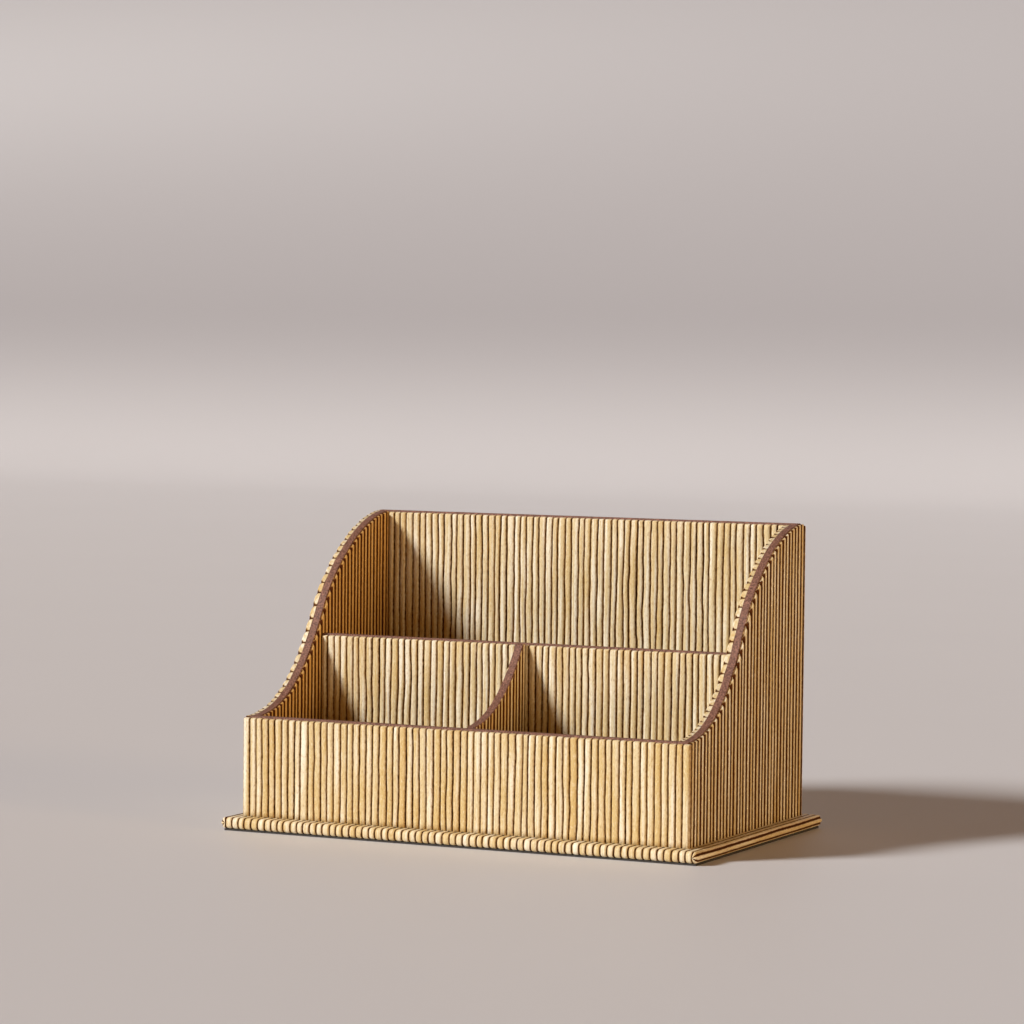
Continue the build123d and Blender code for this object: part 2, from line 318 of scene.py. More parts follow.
def wall_reeds(name, node, origin, along, outward, run, count, top, slope, style, seed):
    """A skin of upright reeds on a wall face.

    origin is the foot of the skin's left end on the board, along and outward are unit
    vectors, top and slope give the tips' height and slope at a distance along the run.
    """
    origin, along, outward = (np.array(v, dtype=float) for v in (origin, along, outward))
    draw = np.random.default_rng(seed)
    pitch = run / count
    jitter = draw.normal(0.0, GROOVE_JITTER, count + 1)
    reeds = ReedMesh()
    up = np.array([0.0, 0.0, 1.0])

    def groove(index, height):
        """Place of the groove between two reeds at each height."""
        drift = (wave(SLOW, index, height, seed, SLOW_OFFSET, seed)
                 + wave(MIDDLING, index, height, seed + 1, MIDDLING_OFFSET)
                 + wave(FINE, index, height, seed + 2)
                 + wave(KINKS, index, height, seed + 3))
        calm = CALM_MIDDLE + wave(CALM, index, height, seed + 4)
        wander = drift * calm * style.waviness
        return (index + steadiness(index, count) * (jitter[index] + wander)) * pitch

    across = section_across(style.cover)
    rounding = 1 - np.sqrt(1 - np.minimum(np.abs(across), FLATTEST_SIDE) ** 2)
    for index in range(count):
        middle = (index + 0.5) * pitch
        place = middle + across * pitch * 0.5
        tip = top(place) - TIP_DROP * rounding / FULL_ROUNDING
        tip = tip - abs(draw.normal(0.0, TIP_SPREAD)) * MM
        radius = style.tip_radius * np.sqrt(1 + slope(place) ** 2)
        if style.tip_power < 2:
            radius = radius * (LEVEL_TIP + (1 - LEVEL_TIP) * np.clip(np.abs(slope(place)), 0.0, 1.0))
        height, under_tip = ring_heights(tip, radius)

        left, right = groove(index, height), groove(index + 1, height)
        centre, half = (left + right) / 2, (right - left) / 2
        crest_size = style.depth - abs(draw.normal(0.0, CREST_SPREAD)) * MM
        squareness = draw.uniform(*SQUARENESS)
        reach = draw.normal(1.0, REACH_SPREAD)
        swell = smooth_noise(height / SWELL_LENGTH + index * SWELL_STEP, 0.0, seed + 5)
        crest = np.minimum(style.depth, crest_size + SWELL * swell)
        out = section_out(style.floor, crest, squareness)
        fullness = np.clip(1 - (1 - under_tip) ** style.tip_power, 0, 1) ** (1 / style.tip_power)
        fullness = 1 - style.closing * (1 - fullness)
        out = THIN_EDGE + (out - THIN_EDGE) * fullness[:, None]
        u, v, w = with_backs(centre + half * across, height, out, -style.tuck)
        rings = origin + u[..., None] * along + v[..., None] * up + w[..., None] * outward

        stain = style.tip_stain + (style.stain - style.tip_stain) * under_tip
        edge = RING_EDGE[None, :] * stain[:, None] * reach
        if style.plain_ends and index == 0:
            edge = np.where(RING_LEFT, np.minimum(edge, PLAIN_EDGE), edge)
        if style.plain_ends and index == count - 1:
            edge = np.where(RING_RIGHT, np.minimum(edge, PLAIN_EDGE), edge)
        offset = draw.uniform(0.0, GRAIN_RANGE)
        grain = np.stack([u - middle + index * GRAIN_STEP, v + offset, w], axis=-1)
        reeds.add(rings, edge, draw.uniform(0.0, 1.0) + style.warm, grain, style.cut_edge)
    piece = reeds.build(name, REED)
    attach(piece, "root")
    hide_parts(node)


# ---- materials -------------------------------------------------------------------


class Nodes:
    """Short calls for building one material's node tree."""

    def __init__(self, name):
        self.material = bpy.data.materials.new(name)
        self.material.use_nodes = True
        self.tree = self.material.node_tree
        self.shader = self.tree.nodes["Principled BSDF"]

    def set(self, socket, value):
        self._feed(self.shader.inputs[socket], value)

    def _feed(self, socket, value):
        if isinstance(value, bpy.types.NodeSocket):
            self.tree.links.new(value, socket)
        elif isinstance(value, tuple) and len(value) == 3 and socket.type == "RGBA":
            socket.default_value = (*value, 1.0)
        else:
            socket.default_value = value

    def attribute(self, name, output="Fac"):
        node = self.tree.nodes.new("ShaderNodeAttribute")
        node.attribute_name = name
        return node.outputs[output]

    def position(self):
        return self.tree.nodes.new("ShaderNodeNewGeometry").outputs["Position"]

    def scaled(self, vector, scale):
        node = self.tree.nodes.new("ShaderNodeVectorMath")
        node.operation = "MULTIPLY"
        self.tree.links.new(vector, node.inputs[0])
        node.inputs[1].default_value = scale
        return node.outputs[0]

    def noise(self, vector, detail=2.0, roughness=0.5):
        node = self.tree.nodes.new("ShaderNodeTexNoise")
        self.tree.links.new(vector, node.inputs["Vector"])
        node.inputs["Scale"].default_value = 1.0
        node.inputs["Detail"].default_value = detail
        node.inputs["Roughness"].default_value = roughness
        return node.outputs["Fac"]

    def streaks(self, grain, across, along, detail=2.0, roughness=0.5):
        """Noise of so many waves per metre across a reed and along it."""
        return self.noise(self.scaled(grain, (across, along, across)), detail, roughness)

    def mottle(self, place, waves, detail=2.0, roughness=0.5):
        """Noise of so many waves per metre in every direction."""
        return self.noise(self.scaled(place, (waves, waves, waves)), detail, roughness)

    def math(self, operation, a, b):
        node = self.tree.nodes.new("ShaderNodeMath")
        node.operation = operation
        self._feed(node.inputs[0], a)
        self._feed(node.inputs[1], b)
        return node.outputs[0]

    def ramp(self, value, low, high, out_low=0.0, out_high=1.0):
        """Smooth step of value from out_low at low to out_high at high."""
        node = self.tree.nodes.new("ShaderNodeMapRange")
        node.interpolation_type = "SMOOTHSTEP"
        self.tree.links.new(value, node.inputs[0])
        for index, number in enumerate((low, high, out_low, out_high), start=1):
            node.inputs[index].default_value = number
        return node.outputs[0]

    def mix(self, factor, a, b, blend="MIX"):
        node = self.tree.nodes.new("ShaderNodeMix")
        node.data_type = "RGBA"
        node.blend_type = blend
        self._feed(node.inputs[0], factor)
        self._feed(node.inputs[6], a)
        self._feed(node.inputs[7], b)
        return node.outputs[2]

    def bump(self, height, strength, distance):
        node = self.tree.nodes.new("ShaderNodeBump")
        node.inputs["Strength"].default_value = strength
        node.inputs["Distance"].default_value = distance
        self.tree.links.new(height, node.inputs["Height"])
        self.tree.links.new(node.outputs[0], self.shader.inputs["Normal"])


WHITE = (0.96, 0.90, 0.74)        # split reeds, from their palest streaks to the oldest varnish; WHITE also paints highlight stripes, DEEP the painted shade down the flanks, GROOVE the grooves' dark stain deepened by painted shade
PALE = (0.83, 0.735, 0.510)
GOLD = (0.68, 0.490, 0.205)
DEEP = (0.36, 0.185, 0.050)
GROOVE = (0.060, 0.018, 0.005)
# Painted shade: the near-black red of the grooves on skins that lie in shade.
GROOVE_SHADE = (0.085, 0.022, 0.0018)
RUSSET_SHADE = (0.93, 0.77, 0.58)       # painted shade: multiplies the colour of the skins that lie in shade, a warm darker tint for their bounced light


def reed_material():
    """Varnished split cane: straw to gold, streaked along its length, with painted highlight stripes,
    painted shade on the flanks and on skins in shade, and grooves dark from stain and painted shade.
    """
    n = Nodes("reed_cane")
    grain = n.attribute("grain", "Vector")
    edge = n.attribute("edge")
    tone = n.attribute("tone")
    cloud = n.streaks(grain, 90.0, 26.0, detail=3.0)
    highlight_facet = n.streaks(grain, 430.0, 13.0, detail=1.5)
    streak = n.streaks(grain, 900.0, 24.0)
    dry = n.streaks(grain, 1300.0, 45.0, detail=3.0, roughness=0.6)
    fibre = n.streaks(grain, 2600.0, 60.0, detail=3.0, roughness=0.6)
    grit = n.streaks(grain, 900.0, 380.0, detail=3.0, roughness=0.65)
    speck = n.streaks(grain, 1500.0, 420.0, roughness=0.6)

    # Pale cane with whiter facets that are painted highlight stripes and golden facets that are painted
    # shade, warmer and more golden from reed to reed and along each one.
    whiteness = n.math("ADD", n.ramp(dry, 0.42, 0.64, 0.0, 0.6), n.ramp(highlight_facet, 0.50, 0.57, 0.0, 0.75))
    warmth = n.math("ADD", n.math("MULTIPLY", tone, 0.30), n.math("MULTIPLY", cloud, 0.85))
    warmth = n.math("ADD", warmth, n.math("MULTIPLY", streak, 0.45))
    colour = n.mix(n.ramp(whiteness, 0.1, 1.1), PALE, WHITE)
    colour = n.mix(n.ramp(warmth, 0.58, 1.20), colour, GOLD)
    colour = n.mix(n.ramp(highlight_facet, 0.50, 0.43, 0.0, 0.50), colour, GOLD)
    colour = n.mix(n.ramp(fibre, 0.42, 0.75, 0.0, 0.35), colour, GOLD)
    colour = n.mix(n.ramp(grit, 0.50, 0.70, 0.0, 0.30), colour, GOLD)
    colour = n.mix(n.ramp(speck, 0.56, 0.70, 0.0, 0.40), colour, DEEP)
    colour = n.mix(n.ramp(speck, 0.44, 0.32, 0.0, 0.35), colour, WHITE)

    # The grooves' dark stain, deepened by painted shade, with painted shade down the reeds' flanks and a
    # near-black red painted shade in the grooves of skins in shade; all with a ragged edge.
    ragged = n.math("MULTIPLY", n.math("SUBTRACT", grit, 0.5), 0.62)
    stain = n.math("ADD", edge, ragged)
    colour = n.mix(n.ramp(stain, 0.50, 0.98, 0.0, 0.94), colour, DEEP)
    colour = n.mix(n.ramp(stain, 0.84, 1.02), colour, GROOVE)
    colour = n.mix(n.ramp(stain, 1.05, 1.35), colour, GROOVE_SHADE)
    # Painted shade: a raised tone marks a skin that lies in shade, and the russet multiply darkens and
    # reddens it.
    colour = n.mix(n.ramp(tone, 1.0, 1.6), colour, RUSSET_SHADE, "MULTIPLY")
    n.set("Base Color", colour)

    shine = n.ramp(fibre, 0.2, 0.8, 0.32, 0.46)
    n.set("Roughness", n.math("ADD", shine, n.ramp(stain, 0.70, 1.0, 0.0, 0.50)))
    n.set("Specular IOR Level", 0.14)
    relief = n.math("ADD", fibre, n.math("MULTIPLY", streak, 0.8))
    relief = n.math("ADD", relief, n.math("MULTIPLY", grit, 1.8))
    n.bump(relief, 0.6, 0.17 * MM)
    return n.material


def band_material():
    """Matt reddish-brown edge strip with a fine mottled grain."""
    n = Nodes("band_brown")
    place = n.position()
    grain = n.mottle(place, 1100.0, detail=3.0, roughness=0.65)
    cloud = n.mottle(place, 120.0)
    colour = n.mix(n.ramp(grain, 0.38, 0.64), (0.085, 0.030, 0.019), (0.33, 0.160, 0.112))
    colour = n.mix(n.ramp(cloud, 0.35, 0.7, 0.0, 0.35), colour, (0.16, 0.07, 0.04))
    n.set("Base Color", colour)
    n.set("Roughness", n.ramp(grain, 0.3, 0.7, 0.62, 0.78))
    n.bump(grain, 0.3, 0.1 * MM)
    return n.material


def board_material():
    """Brown stained board, seen only at the joints."""
    n = Nodes("board_stain")
    place = n.position()
    grain = n.noise(n.scaled(place, (900.0, 900.0, 60.0)), detail=4.0, roughness=0.6)
    cloud = n.mottle(place, 60.0)
    colour = n.mix(n.ramp(grain, 0.3, 0.7), (0.055, 0.026, 0.013), (0.12, 0.06, 0.03))
    colour = n.mix(n.ramp(cloud, 0.4, 0.7, 0.0, 0.4), colour, (0.07, 0.032, 0.016))
    n.set("Base Color", colour)
    n.set("Roughness", n.ramp(grain, 0.3, 0.7, 0.55, 0.75))
    n.bump(grain, 0.25, 0.1 * MM)
    return n.material


def pad_material():
    """Near-black pad with a fine pressed texture."""
    n = Nodes("pad_black")
    place = n.position()
    grain = n.mottle(place, 1800.0, detail=3.0, roughness=0.7)
    n.set("Base Color", n.mix(n.ramp(grain, 0.3, 0.7), (0.018, 0.015, 0.013), (0.055, 0.047, 0.042)))
    n.set("Roughness", n.ramp(grain, 0.3, 0.7, 0.75, 0.92))
    n.bump(grain, 0.4, 0.15 * MM)
    return n.material


def steel_material():
    """Plain plated steel with light handling marks."""
    n = Nodes("steel_plated")
    place = n.position()
    mark = n.mottle(place, 700.0, detail=4.0, roughness=0.6)
    n.set("Base Color", n.mix(n.ramp(mark, 0.3, 0.7), (0.50, 0.49, 0.46), (0.66, 0.65, 0.62)))
    n.set("Roughness", n.ramp(mark, 0.3, 0.7, 0.25, 0.42))
    n.set("Metallic", 1.0)
    n.bump(mark, 0.15, 0.05 * MM)
    return n.material


REED = reed_material()
BAND = band_material()
BOARD = board_material()
PAD = pad_material()
STEEL = steel_material()

NODE_MATERIALS = {"underside_pad": PAD, "base_screws": STEEL, "carcass_brads": STEEL}

for name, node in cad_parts.items():
    node.data.materials.clear()
    node.data.materials.append(NODE_MATERIALS.get(name, BOARD))


# ---- reeds on the walls ----------------------------------------------------------

STRAIGHT_PROUD = 0.9 * MM       # how far each kind of band stands above the tips of the reeds
SLOPED_PROUD = 0.12 * MM
CROSS_PROUD = 0.2 * MM


def flat_top(band_top):
    """Tip height and slope functions of a straight wall."""
    height = band_top - STRAIGHT_PROUD - BASE_TOP

    def top(u):
        return np.full(np.shape(u), height)

    def slope(u):
        return np.zeros(np.shape(u))

    return top, slope


def sloped_top(start, direction, proud, ceiling=None):
    """Tip height and slope along the S-curve; start is the depth at the run's beginning."""
    def top(u):
        y = start + direction * u
        height = curve_height(y) - proud * np.sqrt(1 + curve_slope(y) ** 2)
        if ceiling is not None:
            height = np.minimum(height, ceiling - proud)
        return height - BASE_TOP

    def slope(u):
        y = start + direction * u
        free = np.ones(np.shape(u)) if ceiling is None else (curve_height(y) < ceiling)
        return curve_slope(y) * direction * free

    return top, slope


# Number of reeds in each skin.
COUNTS = {
    "front_outer_reeds": 66, "back_outer_reeds": 66, "front_inner_reeds": 61, "back_inner_reeds": 61,
    "divider_front_reeds": 61, "divider_rear_reeds": 61, "left_outer_reeds": 35,
    "right_outer_reeds": 35, "left_inner_reeds": 38, "right_inner_reeds": 38,
    "cross_left_reeds": 16, "cross_right_reeds": 16,
}


def straight_skin(node, facing, plane, x_range, band_top, style, seed):
    """Reeds on a wall that runs from side to side."""
    outward = -1.0 if facing == "front" else 1.0
    left, right = x_range if facing == "front" else (x_range[1], x_range[0])
    top, slope = flat_top(band_top)
    wall_reeds(node.replace("reeds", "cane"), node, (left, plane, BASE_TOP), (-outward, 0, 0),
               (0, outward, 0), abs(right - left), COUNTS[node], top, slope, style, seed)


def side_skin(node, facing, plane, y_range, style, seed, ceiling=None):
    """Reeds on a wall that runs from front to back, under the S-curve."""
    outward = 1.0 if facing == "right" else -1.0
    start = y_range[0] if facing == "right" else y_range[1]
    proud = SLOPED_PROUD if ceiling is None else CROSS_PROUD
    top, slope = sloped_top(start, outward, proud, ceiling)
    wall_reeds(node.replace("reeds", "cane"), node, (plane, start, BASE_TOP), (0, outward, 0),
               (outward, 0, 0), y_range[1] - y_range[0], COUNTS[node], top, slope, style, seed)


CROSS_DEPTH = span("cross_right_reeds", 0)[1] - span("cross_right_reeds", 0)[0]

# The skins that lie in shade (DARK_TIPS outside on the right, DEEP_TIPS inside on the left, CROSS on the
# cross divider) carry painted shade: a wider, darker stain, darker cut ends and a raised tone. OUTER's
# small raise in tone dims the brightly lit outer faces, and WAVY's lowered tone is painted light.
INNER = Style(depth=REED_DEPTH, cover=0.94, floor=1.1 * MM, tuck=0.0, tip_radius=1.0 * MM, tip_power=2.0,
              stain=1.03, tip_stain=1.03, waviness=0.85, plain_ends=False, warm=0.0, closing=1.0,
              cut_edge=PLAIN_CUT)
OUTER = INNER._replace(cover=0.95, floor=1.2 * MM, stain=0.99, tip_stain=0.99, plain_ends=True, warm=0.20)
WAVY = INNER._replace(stain=0.98, tip_stain=0.98, waviness=1.1, warm=-0.15)
DARK_TIPS = INNER._replace(cover=0.84, floor=1.3 * MM, tip_radius=0.7 * MM, tip_power=1.6, stain=1.50,
                           tip_stain=1.50, waviness=0.4, warm=0.1, closing=0.4, cut_edge=0.95)
DEEP_TIPS = DARK_TIPS._replace(stain=1.46, warm=1.4)
LIT_TIPS = DARK_TIPS._replace(floor=1.5 * MM, tuck=0.9 * MM, stain=1.2, tip_stain=1.3, warm=0.0,
                              closing=0.35, cut_edge=0.45)
CROSS = INNER._replace(depth=CROSS_DEPTH, cover=0.86, floor=0.5 * MM, tip_radius=0.8 * MM, stain=1.75,
                       tip_stain=1.75, waviness=0.4, warm=0.45, closing=0.6)

LONG_Y = span("long_divider", 1)
CROSS_X = span("cross_divider", 0)
CROSS_Y = span("cross_left_reeds", 1)

straight_skin("front_outer_reeds", "front", -CORE_OUTER_Y, (-OUTER_X, OUTER_X), FRONT_BAND_TOP, OUTER, 11)
straight_skin("front_inner_reeds", "back", -CORE_INNER_Y, (-INNER_X, INNER_X), FRONT_BAND_TOP, INNER, 12)
straight_skin("back_outer_reeds", "back", CORE_OUTER_Y, (-OUTER_X, OUTER_X), BACK_BAND_TOP, OUTER, 13)
straight_skin("back_inner_reeds", "front", CORE_INNER_Y, (-INNER_X, INNER_X), BACK_BAND_TOP, WAVY, 14)
straight_skin("divider_front_reeds", "front", LONG_Y[0], (-INNER_X, INNER_X), DIVIDER_BAND_TOP, WAVY, 15)
straight_skin("divider_rear_reeds", "back", LONG_Y[1], (-INNER_X, INNER_X), DIVIDER_BAND_TOP, INNER, 16)
side_skin("left_outer_reeds", "left", -CORE_OUTER_X, (-CORE_OUTER_Y, CORE_OUTER_Y), LIT_TIPS, 17)
side_skin("left_inner_reeds", "right", -CORE_INNER_X, (-CORE_INNER_Y, CORE_INNER_Y), DEEP_TIPS, 18)
side_skin("right_outer_reeds", "right", CORE_OUTER_X, (-CORE_OUTER_Y, CORE_OUTER_Y), DARK_TIPS, 19)
side_skin("right_inner_reeds", "left", CORE_INNER_X, (-CORE_INNER_Y, CORE_INNER_Y), LIT_TIPS, 20)
side_skin("cross_left_reeds", "left", CROSS_X[0], CROSS_Y, CROSS, 21, DIVIDER_BAND_TOP)
side_skin("cross_right_reeds", "right", CROSS_X[1], CROSS_Y, CROSS, 22, DIVIDER_BAND_TOP)


# ---- base reeds --------------------------------------------------------------------

NOSE_RADIUS = (BASE_TOP - PAD_TOP) / 2
NOSE_Z = PAD_TOP + NOSE_RADIUS
NOSE_Y = BASE_Y - NOSE_RADIUS
BOARD_NOSE = NOSE_RADIUS - BASE_REED_DEPTH
BASE_RETURN = 10.0 * MM         # how far the mat runs back under the board
BASE_COUNT = 69
BASE_SIDE_COUNT = 3
BASE_GROOVE_FLOOR = 1.05 * MM
BASE_COVER = 0.92               # share of the pitch under the round arch
BASE_SQUARENESS = 2.3
BASE_JITTER = 0.05              # spread of the grooves' places, as a share of the pitch
BASE_CREST_SPREAD = 0.07        # in mm
MAT_STAIN_AND_SHADE = 1.04                # how far the dark stain and painted shade reach up from the grooves
# A wider stain on the base's side reeds: painted shade, set for the base's shaded right side.
SIDE_STAIN_AND_SHADE = 1.35
SIDE_END = 2.4 * MM             # length of a side reed's rounded end
SIDE_TIP = 0.15 * MM            # what is left of its radius at the very end
SIDE_WAVE = 30 * MM             # length and height of the side grooves' waves
SIDE_SWAY = 0.08                # as a share of a reed's angle
NOSE_POWER = 2.7                # 2 would be a round nose
BACK_ENDS = np.array([1.0, -1.0])       # a ring's two back corners, across the reed


def squarer(direction, radius):
    """Extra reach that turns a round nose of this radius into a squarer one."""
    total = abs(direction[0]) ** NOSE_POWER + abs(direction[1]) ** NOSE_POWER
    return radius * (total ** (-1 / NOSE_POWER) - 1)


def mat_path():
    """Path of a base reed's back in the YZ plane, with the outward direction at each point."""
    points, outward = [], []
    for y in np.linspace(-NOSE_Y + BASE_RETURN, -NOSE_Y, 4)[:-1]:
        points.append((y, NOSE_Z - BOARD_NOSE))
        outward.append((0.0, -1.0))
    for angle in np.linspace(270, 90, 15):
        direction = (math.cos(math.radians(angle)), math.sin(math.radians(angle)))
        reach = BOARD_NOSE + squarer(direction, NOSE_RADIUS)
        points.append((-NOSE_Y + reach * direction[0], NOSE_Z + reach * direction[1]))
        outward.append(direction)
    mirrored = [(-y, z) for y, z in reversed(points)]
    mirrored_out = [(-y, z) for y, z in reversed(outward)]
    for y in np.linspace(-NOSE_Y, NOSE_Y, 40)[1:-1]:
        points.append((y, NOSE_Z + BOARD_NOSE))
        outward.append((0.0, 1.0))
    return np.array(points + mirrored), np.array(outward + mirrored_out)


def base_mat():
    """Reeds that run over the base and turn under its front and back edges."""
    path, outward = mat_path()
    travel = np.concatenate([[0.0], np.cumsum(np.hypot(*np.diff(path, axis=0).T))])
    pitch = 2 * MAT_X / BASE_COUNT
    draw = np.random.default_rng(31)
    jitter = draw.normal(0.0, BASE_JITTER, BASE_COUNT + 1)
    reeds = ReedMesh()
    across = np.concatenate([section_across(BASE_COVER), BACK_ENDS])

    def groove(index):
        """Place of the groove between two reeds at each point of the path."""
        drift = jitter[index] + wave(MAT_SLOW, index, travel, 32) + wave(MAT_FINE, index, travel, 33)
        return -MAT_X + (index + steadiness(index, BASE_COUNT) * drift) * pitch

    for index in range(BASE_COUNT):
        left, right = groove(index), groove(index + 1)
        centre, half = (left + right) / 2, (right - left) / 2
        crest = BASE_REED_DEPTH - abs(draw.normal(0.0, BASE_CREST_SPREAD)) * MM
        out = section_out(BASE_GROOVE_FLOOR, crest, BASE_SQUARENESS)
        x = centre[:, None] + half[:, None] * across[None, :]
        w = np.tile(np.concatenate([out, [0.0, 0.0]]), (len(path), 1))
        y = path[:, :1] + outward[:, :1] * w
        z = path[:, 1:] + outward[:, 1:] * w
        rings = np.stack([x, y, z], axis=-1)
        edge = np.broadcast_to(RING_EDGE * MAT_STAIN_AND_SHADE, x.shape)
        offset = draw.uniform(0.0, GRAIN_RANGE)
        along = np.broadcast_to(travel[:, None], x.shape)
        grain = np.stack([x + index * MAT_GRAIN_STEP, along + offset, w], axis=-1)
        reeds.add(rings, edge, draw.uniform(0.0, 1.0), grain, PLAIN_CUT)
    piece = reeds.build("base_cane_mat", REED)
    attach(piece, "root")
    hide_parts("base_reed_mat")


def base_side(node, side, seed):
    """Three lengthwise reeds round a side edge of the base, with rounded ends."""
    draw = np.random.default_rng(seed)
    reeds = ReedMesh()
    rounded = SIDE_END * (1 - np.cos(np.linspace(0, math.pi / 2, 7)))
    straight = np.linspace(SIDE_END, 2 * BASE_Y - SIDE_END, 60)[1:-1]
    distance = np.concatenate([rounded, straight, 2 * BASE_Y - rounded[::-1]])
    from_end = np.minimum(distance, 2 * BASE_Y - distance)
    fullness = np.sqrt(np.clip(1 - (1 - np.clip(from_end / SIDE_END, 0, 1)) ** 2, 0.0, 1.0))
    step = math.pi / BASE_SIDE_COUNT
    across = np.concatenate([section_across(BASE_COVER), BACK_ENDS])

    def groove(index):
        """Angle of a groove round the nose; the outermost two don't waver."""
        inside = 0 < index < BASE_SIDE_COUNT
        drift = smooth_noise(distance / SIDE_WAVE, index, seed) * SIDE_SWAY * inside
        return -math.pi / 2 + step * (index + drift)

    for index in range(BASE_SIDE_COUNT):
        start, stop = groove(index), groove(index + 1)
        angle = (start + stop)[:, None] / 2 + (stop - start)[:, None] / 2 * across[None, :]
        out = section_out(BASE_GROOVE_FLOOR, BASE_REED_DEPTH, BASE_SQUARENESS)
        w = np.tile(np.concatenate([out, [0.0, 0.0]]), (len(distance), 1))
        radius = (BOARD_NOSE + w) * fullness[:, None] + SIDE_TIP * (1 - fullness[:, None])
        x = side * (MAT_X + radius * np.cos(angle))
        z = NOSE_Z + radius * np.sin(angle)
        y = np.broadcast_to((-BASE_Y + distance)[:, None], x.shape)
        rings = np.stack([x, y, z], axis=-1)
        edge = np.broadcast_to(RING_EDGE * SIDE_STAIN_AND_SHADE, x.shape)
        offset = draw.uniform(0.0, GRAIN_RANGE)
        grain = np.stack([angle * NOSE_RADIUS + index * MAT_GRAIN_STEP, y + offset, w], axis=-1)
        if side > 0:            # keeps the faces turned outwards
            rings, edge, grain = rings[::-1], edge[::-1], grain[::-1]
        reeds.add(rings, edge, draw.uniform(0.0, 1.0), grain, PLAIN_CUT)
    piece = reeds.build(node.replace("reeds", "cane"), REED)
    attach(piece, "root")
    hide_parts(node)


base_mat()
base_side("base_left_reeds", -1, 41)
base_side("base_right_reeds", 1, 42)


# ---- edge bands ----------------------------------------------------------------------

BAND_CORNER = 0.30 * MM
BAND_SWAY = 0.08 * MM           # how far a strip wavers sideways and up
BAND_LIFT = 0.05 * MM


def band_section(width, thickness):
    """Rounded section of a band, across and up, with its top at 0."""
    half, points = width / 2, []
    for sign, angles in ((1, (0, 30, 60, 90)), (-1, (90, 60, 30, 0))):
        for angle in angles:
            across = half - BAND_CORNER + BAND_CORNER * math.cos(math.radians(angle))
            rise = -BAND_CORNER + BAND_CORNER * math.sin(math.radians(angle))
            points.append((sign * across, rise))
    points += [(-half, -thickness), (half, -thickness)]
    return np.array(points)


def band(name, node, line, across, width, seed):
    """Strip swept along a line of (point, up) pairs; across is its width direction."""
    points, ups = line
    section = band_section(width, BAND_THICKNESS)
    across = np.array(across, dtype=float)
    rings = []
    for index, (point, up) in enumerate(zip(points, ups)):
        sway = BAND_SWAY * smooth_noise(index * 0.3, 0.5, seed)
        lift = BAND_LIFT * smooth_noise(index * 0.45, 1.5, seed)
        rings.append(point + across * (section[:, :1] + sway) + up * (section[:, 1:] + lift - BAND_LIFT))
    rings = np.array(rings)
    rows, size = rings.shape[:2]
    faces = tube_sides(0, rows, size)
    faces.append(tuple(reversed(range(size))))
    faces.append(tuple((rows - 1) * size + k for k in range(size)))
    piece = new_object(name, rings.reshape(-1, 3), faces, BAND, smooth=False)
    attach(piece, "root")
    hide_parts(node)


def straight_line(start, end, step=4 * MM):
    """Evenly spaced points from start to end, all with up along Z."""
    start, end = np.array(start, dtype=float), np.array(end, dtype=float)
    count = max(2, int(np.linalg.norm(end - start) / step))
    points = start + np.linspace(0, 1, count)[:, None] * (end - start)
    return points, np.tile([0.0, 0.0, 1.0], (count, 1))


def curved_line(x, y_start, y_end, ceiling=None):
    """Points along the S-curve between two depths, with its outward normals."""
    inside = (CURVE[:, 0] > y_start) & (CURVE[:, 0] < y_end)
    y = np.concatenate([[y_start], CURVE[inside, 0][::2], [y_end]])
    z, slope = curve_height(y), curve_slope(y)
    if ceiling is not None:
        slope = np.where(z > ceiling, 0.0, slope)
        z = np.minimum(z, ceiling)
    length = np.sqrt(1 + slope ** 2)
    points = np.stack([np.full(len(y), x), y, z], axis=1)
    normals = np.stack([np.zeros(len(y)), -slope / length, 1 / length], axis=1)
    return points, normals


CORE = CORE_OUTER_X - CORE_INNER_X
SLOPED_WIDTH = CORE - 0.3 * MM
BAND_SHIFT = 0.6 * MM           # both sloped strips sit this much to the right of their boards
CROSS_WIDTH = CROSS_X[1] - CROSS_X[0] + 1.3 * CROSS_DEPTH
BACK_BAND_X = CORE_OUTER_X - 0.3 * MM
FRONT_MID = -(CORE_OUTER_Y + CORE_INNER_Y) / 2
SIDE_MID = (CORE_OUTER_X + CORE_INNER_X) / 2
LONG_MID = sum(LONG_Y) / 2
CROSS_MID = sum(CROSS_X) / 2

band("front_band", "front_edge_band",
     straight_line((-CORE_OUTER_X, FRONT_MID, FRONT_BAND_TOP), (CORE_OUTER_X, FRONT_MID, FRONT_BAND_TOP)),
     (0, 1, 0), CORE, 51)
band("back_band", "back_edge_band",
     straight_line((-BACK_BAND_X, -FRONT_MID, BACK_BAND_TOP), (BACK_BAND_X, -FRONT_MID, BACK_BAND_TOP)),
     (0, 1, 0), CORE, 52)
band("divider_band", "long_divider_band",
     straight_line((-INNER_X, LONG_MID, DIVIDER_BAND_TOP), (INNER_X, LONG_MID, DIVIDER_BAND_TOP)),
     (0, 1, 0), CORE, 53)
band("left_band", "left_edge_band", curved_line(-SIDE_MID + BAND_SHIFT, -CORE_INNER_Y, CORE_INNER_Y),
     (-1, 0, 0), SLOPED_WIDTH, 54)
band("right_band", "right_edge_band", curved_line(SIDE_MID + BAND_SHIFT, -CORE_INNER_Y, CORE_INNER_Y),
     (-1, 0, 0), SLOPED_WIDTH, 55)
band("cross_band", "cross_divider_band", curved_line(CROSS_MID, CROSS_Y[0], CROSS_Y[1], DIVIDER_BAND_TOP),
     (-1, 0, 0), CROSS_WIDTH, 56)


# ---- floor, lights and camera ------------------------------------------------------


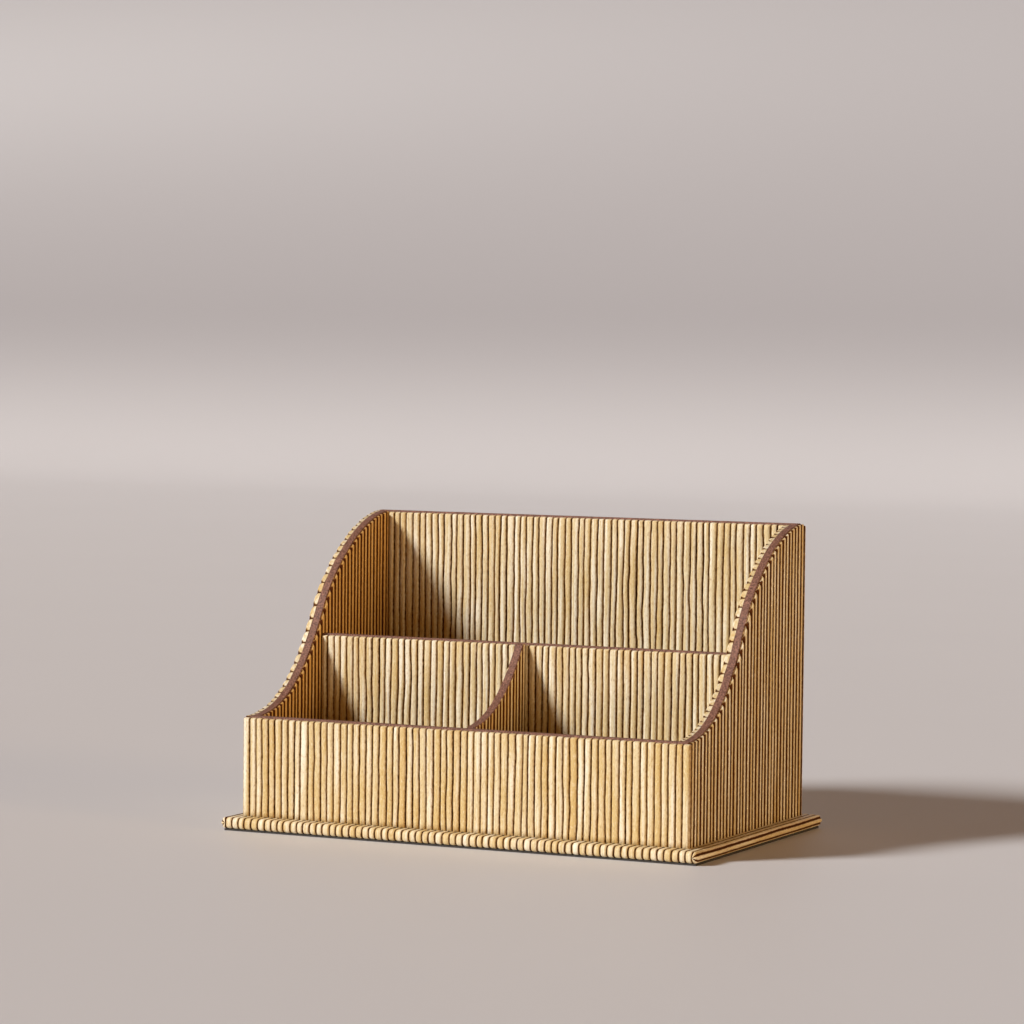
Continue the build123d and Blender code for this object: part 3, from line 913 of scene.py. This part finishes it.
FLOOR_FRONT = -6.0              # the floor's edges, and the backdrop's bend and top, in metres
FLOOR_BACK = 4.0
FLOOR_SIDE = 6.0
BACKDROP_RADIUS = 1.2
BACKDROP_TOP = 6.0
BACKDROP_DARKER = (-0.1, 0.35)  # heights between which the backdrop grows darker


def stage_material():
    """Plain pale studio surface, darker up the backdrop."""
    n = Nodes("studio_floor")
    place = n.position()
    split = n.tree.nodes.new("ShaderNodeSeparateXYZ")
    n.tree.links.new(place, split.inputs[0])
    pale = n.mix(n.mottle(place, 3.0), (0.705, 0.705, 0.735), (0.725, 0.725, 0.755))
    n.set("Base Color", n.mix(n.ramp(split.outputs[2], *BACKDROP_DARKER), pale, (0.35, 0.34, 0.36)))
    n.set("Roughness", 0.55)
    return n.material


def studio_floor():
    """Floor that curves up into a far backdrop."""
    points = [(FLOOR_FRONT, 0.0), (FLOOR_BACK, 0.0)]
    for angle in np.linspace(0, math.pi / 2, 17)[1:]:
        along, rise = math.sin(angle), 1 - math.cos(angle)
        points.append((FLOOR_BACK + BACKDROP_RADIUS * along, BACKDROP_RADIUS * rise))
    points.append((FLOOR_BACK + BACKDROP_RADIUS, BACKDROP_TOP))
    vertices = [(x, y, z) for x in (-FLOOR_SIDE, FLOOR_SIDE) for y, z in points]
    size = len(points)
    faces = [(k, size + k, size + k + 1, k + 1) for k in range(size - 1)]
    floor = new_object("studio_floor", vertices, faces, stage_material())


def sun(name, azimuth, height, size, energy, colour):
    """Soft distant light; azimuth is in degrees to the left of the front, size is its width in the sky."""
    data = bpy.data.lights.new(name, "SUN")
    data.energy = energy
    data.angle = math.radians(size)
    data.color = colour
    lamp = bpy.data.objects.new(name, data)
    azimuth, height = math.radians(azimuth), math.radians(height)
    towards = Vector((-math.sin(azimuth) * math.cos(height),
                      -math.cos(azimuth) * math.cos(height), math.sin(height)))
    lamp.rotation_mode = "QUATERNION"
    lamp.rotation_quaternion = (-towards).to_track_quat("-Z", "Y")
    bpy.context.scene.collection.objects.link(lamp)


def lights():
    """One large soft key from the left in front, a low warm fill from the right, and a warm room."""
    world = bpy.data.worlds.new("studio")
    bpy.context.scene.world = world
    world.use_nodes = True
    background = world.node_tree.nodes["Background"]
    background.inputs["Color"].default_value = (1.0, 0.42, 0.11, 1.0)
    background.inputs["Strength"].default_value = 0.12
    sun("key_light", azimuth=45.0, height=28.0, size=14.0, energy=4.0, colour=(0.98, 0.965, 0.935))
    sun("fill_light", azimuth=-80.0, height=4.0, size=20.0, energy=1.90, colour=(1.0, 0.69, 0.35))


CAMERA_PLACE = (0.969429, -2.030224, 0.295951)
CAMERA_YAW = math.radians(25.7564)
CAMERA_PITCH = math.radians(2.7397)
CAMERA_ROLL = math.radians(0.5933)
CAMERA_LENS = 133.915


def camera():
    """Long lens a little above the box, turned towards its left."""
    forward = Vector((-math.sin(CAMERA_YAW) * math.cos(CAMERA_PITCH),
                      math.cos(CAMERA_YAW) * math.cos(CAMERA_PITCH), -math.sin(CAMERA_PITCH)))
    right = forward.cross(Vector((0, 0, 1))).normalized()
    up = right.cross(forward)
    turned_right = right * math.cos(CAMERA_ROLL) + up * math.sin(CAMERA_ROLL)
    turned_up = up * math.cos(CAMERA_ROLL) - right * math.sin(CAMERA_ROLL)
    data = bpy.data.cameras.new("camera")
    data.sensor_width = 36.0
    data.lens = CAMERA_LENS
    data.clip_start = 0.05
    data.clip_end = 50.0
    cam = bpy.data.objects.new("camera", data)
    axes = Matrix((turned_right, turned_up, -forward)).transposed().to_4x4()
    cam.matrix_world = Matrix.Translation(CAMERA_PLACE) @ axes
    bpy.context.scene.collection.objects.link(cam)
    bpy.context.scene.camera = cam


studio_floor()
lights()
camera()
bpy.context.scene.view_settings.view_transform = "Standard"
